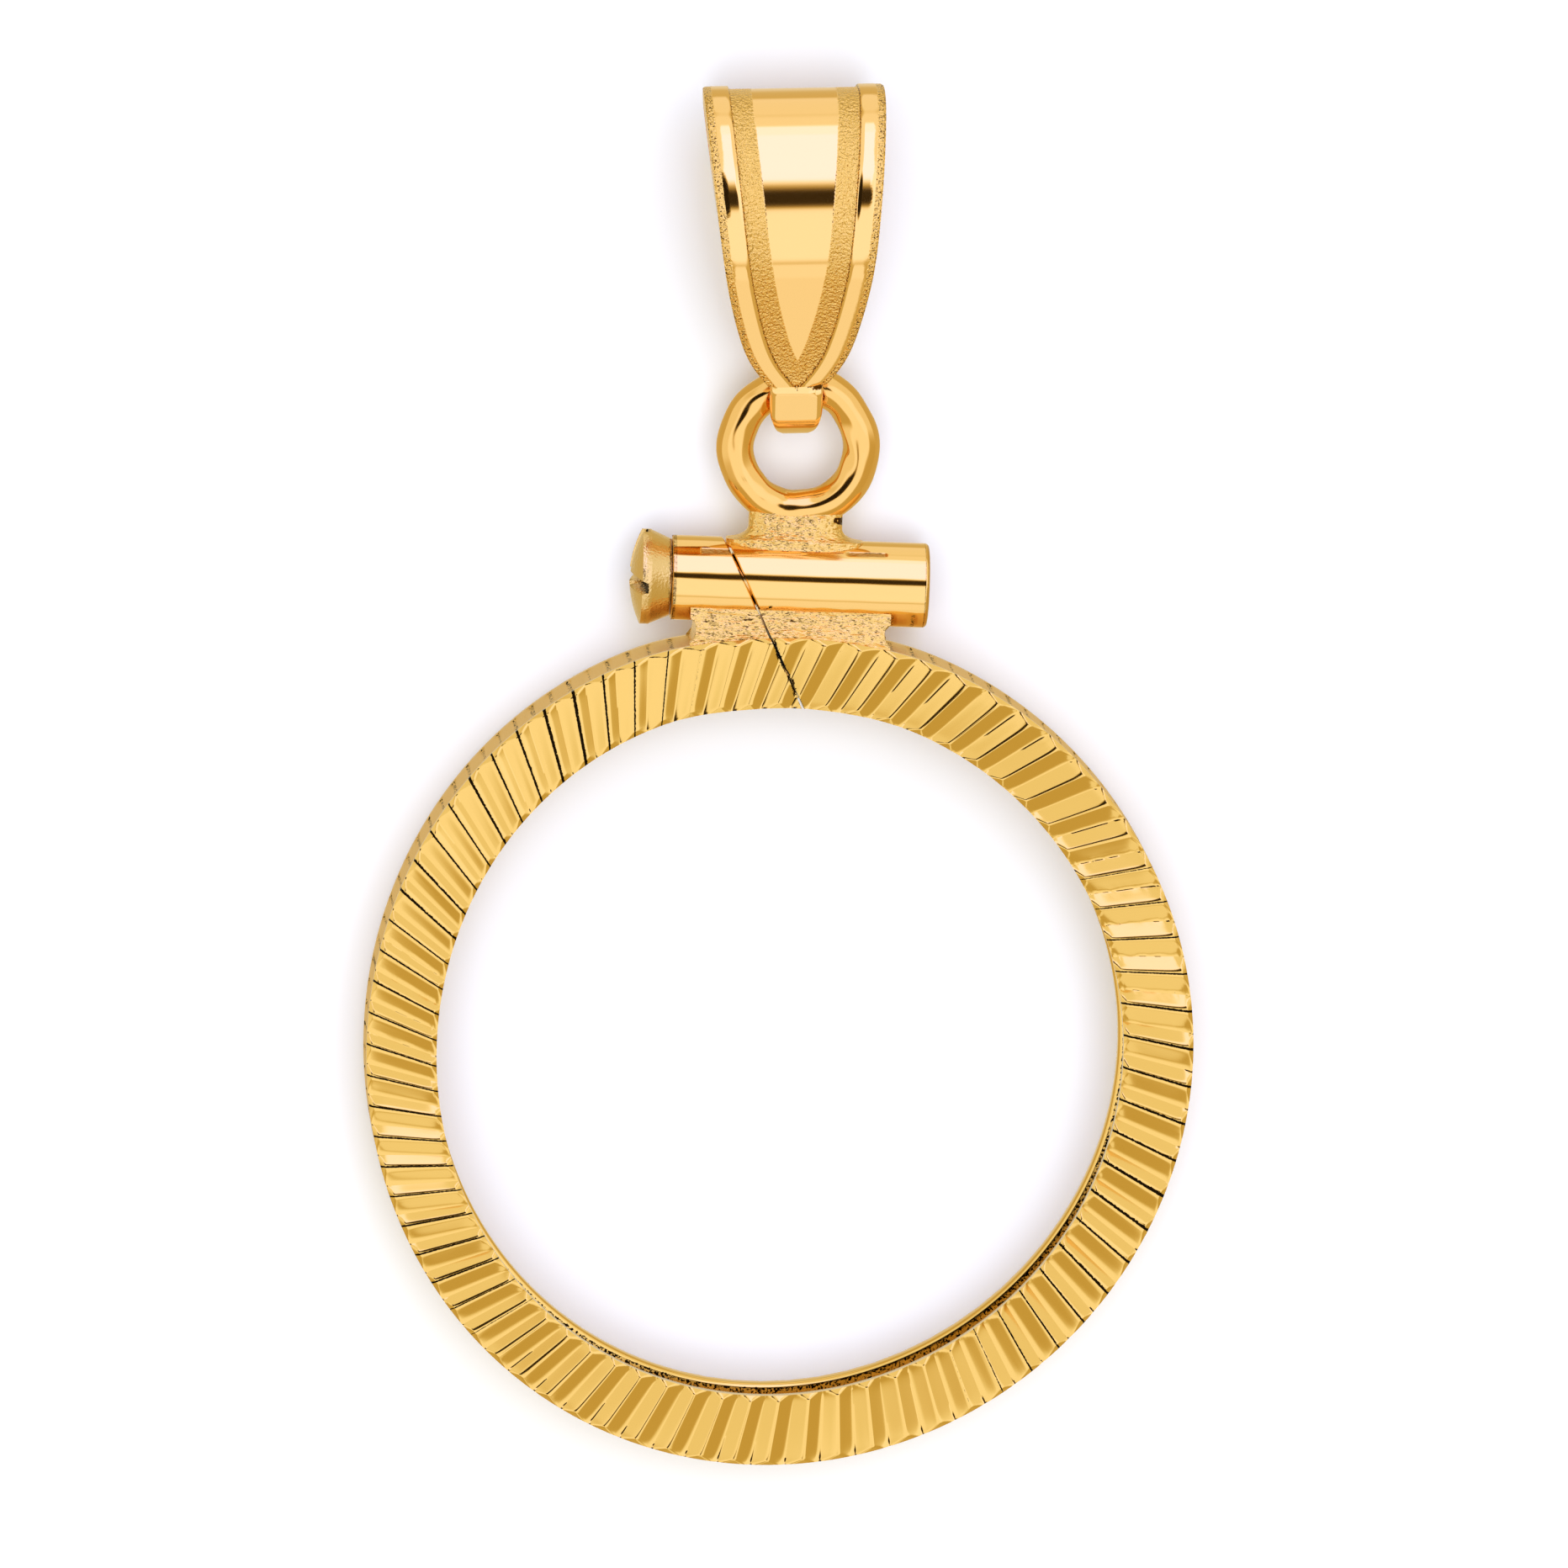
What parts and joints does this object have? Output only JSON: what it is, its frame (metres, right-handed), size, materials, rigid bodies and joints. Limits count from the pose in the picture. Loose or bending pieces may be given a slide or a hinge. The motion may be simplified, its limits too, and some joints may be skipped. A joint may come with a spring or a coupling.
{
  "type": "coin bezel pendant",
  "caption": "Empty screw-top coin bezel: a split fluted channel ring with barrels, cross-slotted screw, hanger ring and a tapered bail.",
  "frame": {"origin": "centre of the coin's seat, midway between the two lips", "axes": "+Z out of the front face along the window's axis, +Y towards the barrels, hanger ring and bail, +X to the right seen from the front"},
  "size_m": [0.0182, 0.0305, 0.0046],
  "materials": {
    "frame_gold": "polished",
    "screw_gold": "turned",
    "bail_gold": "polished with satin bands"
  },
  "bodies": {
    "frame_body": {"bezel_frame": "frame_gold"},
    "screw_body": {"screw": "screw_gold"},
    "bail_body": {"bail": "bail_gold"}
  },
  "joints": [
    {"name": "bail_swing", "type": "hinge", "parent": "frame_body", "child": "bail_body", "pos_m": [-0.00023, 0.01461, 0], "axis": [0.9986, 0.0523, 0], "range_deg": [-125, 95]},
    {"name": "screw_out", "type": "slide", "parent": "frame_body", "child": "screw_body", "axis": [-1, 0, 0], "range_m": [0, 0.0056]}
  ]
}
